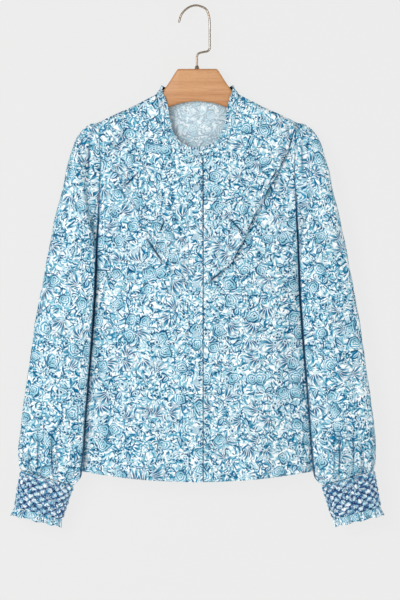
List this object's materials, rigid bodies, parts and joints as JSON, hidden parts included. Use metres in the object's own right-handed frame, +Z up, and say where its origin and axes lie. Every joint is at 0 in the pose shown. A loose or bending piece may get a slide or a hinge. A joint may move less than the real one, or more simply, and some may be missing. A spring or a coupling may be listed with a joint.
{
  "type": "blouse on a hanger",
  "caption": "Long-sleeved floral blouse on a wooden hanger, with gathered ruffles in a V on the chest and smocked cuffs.",
  "frame": {"origin": "the inside of the top of the hook, where it rests on a rail", "axes": "+Z up, the front of the blouse facing -Y, +X to the viewer's right, the wearer's left"},
  "size_m": [0.5982, 0.0657, 0.8381],
  "materials": {
    "print_cloth": "light woven cotton with a blue floral print",
    "smocked_cloth": "the same print, smocked with dark blue thread",
    "button": "glossy off-white",
    "wood": "satin light beech",
    "hook_metal": "satin, pale warm metal"
  },
  "bodies": {
    "root": {"front_right": "print_cloth", "front_left": "print_cloth", "back": "print_cloth", "placket": "print_cloth", "neck_band": "print_cloth", "neck_frill": "print_cloth", "ruffle_right": "print_cloth", "ruffle_left": "print_cloth", "sleeve_right": "print_cloth", "sleeve_left": "print_cloth", "cuff_frill_right": "print_cloth", "cuff_frill_left": "print_cloth", "cuff_right": "smocked_cloth", "cuff_left": "smocked_cloth", "button_1": "button", "button_2": "button", "button_3": "button", "button_4": "button", "button_5": "button", "button_6": "button", "button_7": "button", "hanger_wood": "wood", "hanger_hook": "hook_metal", "hanger_ferrule": "hook_metal"}
  },
  "joints": []
}
